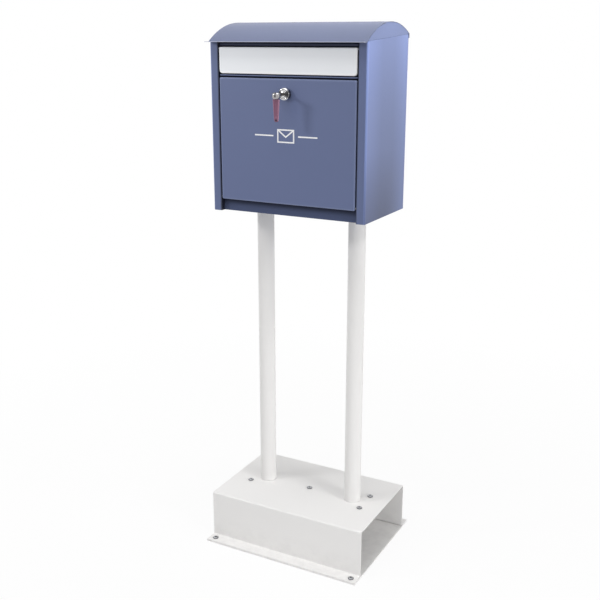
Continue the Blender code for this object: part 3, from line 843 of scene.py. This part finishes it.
def screw_cross_and_rim_shadow(piece, node):
    """Dark where a head lies more than CROSS_DARK_DEPTH under its dome; painted shadow beyond
    RIM_SHARE.
    """
    low, high, middle = node_box(node)
    co = np.empty(3 * len(piece.data.vertices))
    piece.data.vertices.foreach_get("co", co)
    x, y, z = (co.reshape(-1, 3) - np.array([middle[0], middle[1], high[2] - HEAD_H])).T
    q = np.hypot(x, y) / ((high[0] - low[0]) / 2)
    under = dome_height(np.clip(q, 0, 1)) - z
    sunk = np.clip((under - CROSS_DARK_DEPTH) / CROSS_DARK_SOFT, 0, 1) * (q < CROSS_SHARE)
    # painted shadow under the rim of the head
    rim = np.clip((q - RIM_SHARE) / RIM_SOFT, 0, 1)
    cross_and_rim_shadow = piece.data.attributes.new("cross_and_rim_shadow", "FLOAT", "POINT")
    cross_and_rim_shadow.data.foreach_set("value", np.maximum(0.9 * sunk, 0.8 * rim))


screw_nodes = [f"flange_screw_{n}" for n in range(1, 5)] + [f"foot_screw_{n}" for n in range(1, 6)]
screw_nodes += [f"case_screw_{n}" for n in range(1, 5)]
for number, node in enumerate(screw_nodes):
    points = screw_points(node, SCREW_TURN * number)
    screw = grid_piece(f"{node}_driven", points, ZINC_WITH_RIM_SHADOW, "frame", [node])
    screw_cross_and_rim_shadow(screw, node)

# %% [markdown]
# ## Lock
#
# A cam lock has a turned and polished head with a groove round its face, and a plug with a
# keyway in the middle.  Such a head is cut on a lathe, so it is made in the same way here: one
# profile, turned round the lock's axis.

# %% Lock head
LOCK_BARREL = 0.009
LOCK_HEAD_H = 0.0087
LOCK_EDGE = 0.0003
LAND_R = 0.0086
GROOVE_DEPTH = 0.0011
BULGE_FROM = 0.0100
BULGE_H = 0.0045


def lock_head_points():
    """Bore, flat face, groove, a bulge r = R0 + (R - R0) sin t, y = y0 - BULGE_H cos t, barrel."""
    low, high, middle = node_box("lock_housing")
    head_r = (high[0] - low[0]) / 2
    face, seat, end = low[1], low[1] + LOCK_HEAD_H, high[1]
    shoulder, floor = face + LOCK_EDGE, face + GROOVE_DEPTH
    t = np.linspace(0, np.pi / 2, 12)
    bulge_r = BULGE_FROM + (head_r - BULGE_FROM) * np.sin(t)
    profile = np.vstack([
        [(LOCK_BORE, shoulder), (LOCK_BORE + LOCK_EDGE, face)],
        [(LAND_R, face), (LAND_R + LOCK_EDGE, shoulder)],
        [(0.0091, floor), (0.0096, floor), (0.0098, face + 0.0004)],
        np.stack([bulge_r, shoulder + BULGE_H * (1 - np.cos(t))], -1),
        [(head_r, seat - LOCK_EDGE), (head_r - LOCK_EDGE, seat)],
        [(LOCK_BARREL, seat), (LOCK_BARREL, end), (LOCK_BORE, end), (LOCK_BORE, shoulder)],
    ])
    return turned("Y", (middle[0], 0, middle[2]), profile)


grid_piece("lock_head", lock_head_points(), CHROME_PAINTED_REFLECTION, "door", ["lock_housing"])

# %% [markdown]
# ### Plug and keyway
#
# The plug is a short rod that turns in the lock's bore, with a slot for the key.  The slot could
# be cut out with a boolean; here it is sunk into the rings of the face, like the cross in the
# screws, which leaves a clean grid.

# %% Plug with its keyway
KEYWAY_HALF_W = 0.0013
KEYWAY_HALF_H = 0.0035
KEYWAY_DEPTH = 0.004
PLUG_RINGS = 40
PLUG_EDGE = 0.0006


def plug_points():
    """A face y = low + PLUG_EDGE v^8 at the share v of the radius, less the keyway, and a rod."""
    low, high, middle = node_box("lock_plug")
    radius = (high[0] - low[0]) / 2
    v = np.linspace(0, 1, PLUG_RINGS)
    crown = np.stack([radius * v, low[1] + PLUG_EDGE * v**8], -1)
    points = turned("Y", (0, 0, 0), np.vstack([crown, [(radius, high[1]), (0, high[1])]]), 128)
    face = points[:PLUG_RINGS]
    keyway = (abs(face[..., 0]) < KEYWAY_HALF_W) & (abs(face[..., 2]) < KEYWAY_HALF_H)
    face[..., 1] += KEYWAY_DEPTH * keyway
    return points + np.array([middle[0], 0, middle[2]])


grid_piece("lock_face", plug_points(), CHROME_PAINTED_REFLECTION, "lock", ["lock_plug"])

# %% [markdown]
# ## Key
#
# The key is a flat blade with a milled groove and cuts along its lower edge, a bright head that
# hinges on a cross pin, and a tapered grip that hangs down from it.  The blade is a rounded
# cross-section carried along its length, with its height given by a function of that length.

# %% Blade
HUB_R = 0.0042
BLADE_HALF_H = 0.0032
NOSE_L = 0.0016
CUT_FROM = 0.0150
CUT_DEPTH = 0.00055
CUT_WAVES = (1450, 610)
MILLED_UP = 0.0006
MILLED_HALF = 0.0007
MILLED_DEPTH = 0.00045
MILLED_FROM = 0.006
ROUNDING = 0.28


def squared(wave):
    """sign(w) |w|^ROUNDING turns the sine and cosine of a circle into those of a rounded square."""
    return np.sign(wave) * abs(wave) ** ROUNDING


def blade_points():
    """At each y, x = (T - groove) squared(cos c) and z = H squared(sin c), with T half the blade's
    thickness; H is the hub's circle or the plain blade, less the cuts below."""
    low, high, middle = KEY_LOW, KEY_HIGH, KEY_MIDDLE
    hub_y = low[1] + HUB_R
    hub_part = hub_y - HUB_R * np.cos(np.linspace(0, np.pi / 2, 16))
    y = np.concatenate([hub_part, np.linspace(hub_y, high[1], 150)[1:]])
    from_tip = high[1] - y
    hub = np.sqrt(np.clip(HUB_R**2 - (y - hub_y) ** 2, 0, None))
    plain = np.where(y > hub_y, BLADE_HALF_H, 0)
    nose = np.clip(from_tip / NOSE_L, 0, 1) * 0.5 + 0.5
    upper = np.maximum(hub, plain) * nose
    wave = np.sin(CUT_WAVES[0] * from_tip) * np.cos(CUT_WAVES[1] * from_tip)
    lower = upper - np.where(from_tip < CUT_FROM, CUT_DEPTH * (1 + wave), 0)
    c = np.linspace(0, 2 * np.pi, 56, endpoint=False)
    z = np.where(np.sin(c) > 0, upper[:, None], lower[:, None]) * squared(np.sin(c))
    milled = np.exp(-(((z - MILLED_UP) / MILLED_HALF) ** 2)) * (y > hub_y + MILLED_FROM)[:, None]
    x = ((high[0] - low[0]) / 2 - MILLED_DEPTH * milled) * squared(np.cos(c))
    along = np.broadcast_to(y[:, None], z.shape)
    rows = np.stack([x + middle[0], along, z + middle[2]], -1)
    return np.concatenate([point_row(rows[0]), rows, point_row(rows[-1])])


grid_piece("key_blade_cut", blade_points(), KEY_METAL_SHADED_HUB, "key", ["key_blade"])

# %% [markdown]
# ### Head
#
# The head is a small casting, round on top and swollen in the middle, with a slot in which the
# key's hub turns.  Its outline, carried across and drawn in towards both ends, gives the swelling;
# between the slot's two walls the same outline is cut off under the hub.

# %% Head
FORK_CORNER = 0.0012
SLOT_HALF = 0.0013
HUB_ROOM = 0.0003


def arc(centre, radius, start, stop, steps):
    """Points of a circle in (y, z) between two angles."""
    angle = np.linspace(start, stop, steps)
    return np.array(centre) + radius * np.stack([np.cos(angle), np.sin(angle)], -1)


def head_points():
    """Sections outline * s at each x, with s = (1 - |x / half|^3)^0.4, which is 0 at both ends."""
    low, high, middle = node_box("key_fork")
    radius = (high[1] - low[1]) / 2
    half = (high[0] - low[0]) / 2
    down = high[2] - radius - low[2]
    inset, foot = radius - FORK_CORNER, FORK_CORNER - down
    outline = np.concatenate([
        arc((0, 0), radius, 0, np.pi, 33),
        arc((-inset, foot), FORK_CORNER, np.pi, 1.5 * np.pi, 8),
        arc((inset, foot), FORK_CORNER, 1.5 * np.pi, 2 * np.pi, 8),
    ])
    slotted = np.stack([outline[:, 0], np.minimum(outline[:, 1], -HUB_R - HUB_ROOM)], -1)
    x = np.append(-half * np.cos(np.linspace(0, 1.42, 18)), -SLOT_HALF)
    swell = (1 - abs(x / half) ** 3) ** 0.4
    sections = swell[:, None, None] * outline
    across = np.broadcast_to(x[:, None, None], (*sections.shape[:2], 1))
    left = np.concatenate([across, sections], -1)
    slot = np.stack([at_x(-SLOT_HALF, slotted), at_x(SLOT_HALF, slotted)])
    right = left[::-1] * np.array([-1, 1, 1])
    place = np.array([middle[0], middle[1], high[2] - radius])
    return np.concatenate([left, slot, right]) + place


grid_piece("key_head", head_points(), HEAD_CHROME, "key_grip", ["key_fork"])

# %% [markdown]
# ### Grip
#
# The grip is moulded in plastic: it tapers towards a rounded tip, both its faces have a sunk
# panel, and a small hole goes in near the tip.  It could be modelled by pushing and pulling faces;
# as a section that changes with the length, every size stays a number.

# %% Grip
GRIP_LOW_W = 0.0085
ROUND_FROM = 0.9
HOLE_R = 0.0016
HOLE_THIN = 0.25
PANEL_HALF = 0.66
PANEL_SOFT = 0.10
PANEL_FROM = 0.10
PANEL_TO = 0.80
PANEL_END = 0.03
PANEL_SUNK = 0.26


def ramp(value, width):
    """0 below 0, 1 above width, straight between."""
    return np.clip(value / width, 0, 1)


def grip_points():
    """At the share s of the length, x = W(s) f(s) squared(cos c) and y = T f(s) squared(sin c): W
    tapers, f rounds the tip, and panel and hole thin y."""
    low, high, middle = GRIP_LOW, GRIP_HIGH, GRIP_MIDDLE
    wide_top, thick, length = high - low
    tip = np.sin(np.linspace(0, np.pi / 2, 26)[1:])
    body = np.linspace(0.012, ROUND_FROM, 70)
    share = np.concatenate([[0.0, 0.0], body, ROUND_FROM + (1 - ROUND_FROM) * tip])
    into_tip = ((share - ROUND_FROM) / (1 - ROUND_FROM)).clip(0, None)
    full = np.sqrt(np.clip(1 - into_tip**2, 0, 1)) * 0.55 + 0.45 * (share < 0.9999)
    full[0], full[1], full[-1] = 0.0, 0.93, 0.0
    wide = ((wide_top + (GRIP_LOW_W - wide_top) * share) * full / 2)[:, None]
    c = np.linspace(0, 2 * np.pi, 96, endpoint=False)
    x = wide * squared(np.cos(c))
    y = (thick * full / 2)[:, None] * squared(np.sin(c))
    z = np.broadcast_to(-length * share[:, None], x.shape)
    panel = ramp(PANEL_HALF - abs(x) / np.maximum(wide, 1e-9), PANEL_SOFT)
    ends = ramp(share - PANEL_FROM, PANEL_END) * ramp(PANEL_TO - share, PANEL_END)
    hole = np.hypot(x, z + length - GRIP_HOLE_UP) < HOLE_R
    y = y * (1 - PANEL_SUNK * panel * ends[:, None]) * np.where(hole, HOLE_THIN, 1)
    return np.stack([x, y, z], -1) + np.array([middle[0], middle[1], high[2]])


grid_piece("key_tongue", grip_points(), MAUVE_LIT_AND_SHADED, "key_grip", ["key_grip"])

# %% [markdown]
# ## Sign on the door
#
# White print marks the door as the place for letters.  A plain envelope between two lines says
# so without words.  Each stroke is a flat ribbon, a tenth of a millimetre thick, carried along a
# path; mitred corners keep its width.

# %% Printed strokes
SIGN_Z = 0.1675
SIGN_HALF_W = 0.0185
SIGN_HALF_H = 0.0125
LINE_FROM = 0.029
LINE_TO = 0.073
STROKE = 0.0028
PRINT_SEAT = 0.00002


def upright(line, y):
    """The points (x, y, z) of a line in (x, z)."""
    return np.column_stack([line[:, 0], np.full(len(line), y), line[:, 1]])


def stroke_points(path, width, shut, thick):
    """A ribbon along path: its sides are path +- normal * width / (2 cos of half the turn)."""
    path = np.array(path, float)
    ways = np.diff(np.vstack([path, path[:1]]), axis=0)
    ways /= np.linalg.norm(ways, axis=1)[:, None]
    into = np.roll(ways, 1, axis=0)
    out = ways.copy()
    if not shut:
        into[0], out[-1] = out[0], into[-1]
    normal = np.stack([-(into + out)[:, 1], (into + out)[:, 0]], -1)
    normal /= np.linalg.norm(normal, axis=1)[:, None]
    mitre = (normal * np.stack([-into[:, 1], into[:, 0]], -1)).sum(1)
    offset = normal * (width / 2 / mitre)[:, None]
    left, right = path + offset, path - offset
    if shut:
        left, right = np.vstack([left, left[:1]]), np.vstack([right, right[:1]])
    back = [upright(left, 0), upright(right, 0)]
    rows = np.stack(back + [upright(right, -thick), upright(left, -thick)], 1)
    if shut:
        return rows
    return np.concatenate([point_row(rows[0]), rows, point_row(rows[-1])])


w, h = SIGN_HALF_W, SIGN_HALF_H
strokes = {
    "envelope_outline": ([(-w, -h), (w, -h), (w, h), (-w, h)], True, 0.00014),
    "envelope_flap": ([(-w, h), (0, -0.15 * h), (w, h)], False, 0.00010),
    "line_left": ([(-LINE_TO, 0), (-LINE_FROM, 0)], False, 0.00014),
    "line_right": ([(LINE_FROM, 0), (LINE_TO, 0)], False, 0.00014),
}
sign_place = np.array([0, DOOR_LOW[1] - PRINT_SEAT, CASE_LOW[2] + SIGN_Z])
for name, (path, shut, thick) in strokes.items():
    points = stroke_points(path, STROKE, shut, thick) + sign_place
    grid_piece(name, points, PRINT, "door")

# %% [markdown]
# ## Floor
#
# The photo is a catalogue picture on pure white.  Such a picture is taken on a white sweep that
# is lit until it burns out.  A white floor that the camera sees mostly as light does the same: it
# keeps a faint shadow near the stand and shows no horizon.

# %% Floor
FLOOR_HALF = 12.0
FLOOR_WHITE = (0.88, 0.88, 0.88, 1.0)
GLOW = 0.93
FADE_FROM = 0.4
FADE_TO = 1.6
PURE_WHITE = (1.0, 1.0, 1.0, 1.0)


def background_ray(wire):
    """1 for a ray that shows the background: straight to the camera, mirrored, or through glass."""
    rays = ("Is Camera Ray", "Is Glossy Ray", "Is Transmission Ray")
    seen, mirrored, through = (wire.make("ShaderNodeLightPath", None, None, ray) for ray in rays)
    return wire.maths("MINIMUM", seen + mirrored + through, 1.0)


floor_mesh = bpy.data.meshes.new("studio_floor")
corners = [(-1, -1, 0), (1, -1, 0), (1, 1, 0), (-1, 1, 0)]
floor_mesh.from_pydata([tuple(FLOOR_HALF * v for v in c) for c in corners], [], [(0, 1, 2, 3)])
studio_floor = bpy.data.objects.new("studio_floor", floor_mesh)
bpy.context.scene.collection.objects.link(studio_floor)
studio_floor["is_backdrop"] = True

floor_material, floor_shader, floor_place = new_material(
    "studio_white", Base_Color=FLOOR_WHITE, Roughness=0.9
)
floor_tree = floor_material.node_tree
glow = floor_place.make("ShaderNodeEmission", None, {"Color": PURE_WHITE, "Strength": 1.0})
reach = floor_place.make("ShaderNodeVectorMath", {"operation": "LENGTH"}, {0: floor_place}, "Value")
white = GLOW + (1 - GLOW) * reach.clamp(FADE_FROM, FADE_TO)
sheen = Wire(floor_tree, floor_shader.outputs["BSDF"])
mix = {"Fac": white * background_ray(floor_place), 1: sheen, 2: glow}
mixed = floor_place.make("ShaderNodeMixShader", None, mix)
floor_place.put(floor_tree.nodes["Material Output"].inputs["Surface"], mixed)
floor_mesh.materials.append(floor_material)
print(f"floor: {2 * FLOOR_HALF:.0f} m wide, {GLOW:.0%} light near the stand")

# %% [markdown]
# ## World
#
# A white studio lights its subject from all round.  The world gives that even light at less than
# half of what the camera sees, so that the background stays white while the lamps still shape the
# box.  A picture of a studio could stand in for it, but plain white is what the photo shows.

# %% World
WORLD_LIGHT = 0.47

world = bpy.data.worlds.new("studio_world")
bpy.context.scene.world = world
world.use_nodes = True
background = world.node_tree.nodes["Background"]
background.inputs["Color"].default_value = PURE_WHITE
sky = Wire(world.node_tree, background.outputs[0])
sky.put(background.inputs["Strength"], WORLD_LIGHT + (1 - WORLD_LIGHT) * background_ray(sky))
print("world light:", WORLD_LIGHT)

# %% [markdown]
# ## Lamps
#
# A small lamp on the left throws the key's shadow on the door, and a big one hangs above.  On the
# right side of the case the photo's light fades downwards, so two lamps there have a grid that
# narrows the beam: one shines on the top of the case, the other on the stand.  The first of these
# has no mirror image, because it would show as a hot spot on the roof from the left.


# %% Lamps
def soft_lamp(name, place, aim, size, watts, beam=180.0):
    """A square area lamp at place that faces aim; a grid on its front narrows the beam's angle."""
    data = bpy.data.lights.new(name, "AREA")
    data.shape = "SQUARE"
    data.size = size
    data.energy = watts
    data.spread = math.radians(beam)
    lamp = bpy.data.objects.new(name, data)
    lamp.location = place
    way = np.array(aim, float) - np.array(place, float)
    level = math.hypot(way[0], way[1])
    turn = math.atan2(way[1], way[0]) - math.pi / 2
    lamp.rotation_euler = (math.atan2(level, -way[2]), 0, turn)
    bpy.context.scene.collection.objects.link(lamp)
    print(f"{name}: {size} m wide, {watts} W")
    return lamp


soft_lamp("left_lamp", (-1.14, -1.00, 1.56), (0.0, -0.1, 1.08), 0.22, 2.2, 100.0)
soft_lamp("top_lamp", (-0.1, -0.7, 3.2), (0.0, 0.0, 0.8), 1.6, 34.0)
side_lamp = soft_lamp("side_lamp", (0.85, 0.05, 1.80), (0.18, 0.0, 1.38), 0.40, 2.05, 50.0)
side_lamp.visible_glossy = False
soft_lamp("stand_lamp", (2.3, -0.70, 1.15), (0.0, 0.0, 0.18), 0.90, 1.95, 44.0)

# %% [markdown]
# ## Measure
#
# The dressed part must stay as large as its solids.  The box of all that is shown is measured and
# printed.

# %% Measure and finish
low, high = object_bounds()
print("visual box:", [round(v, 4) for v in low], [round(v, 4) for v in high])
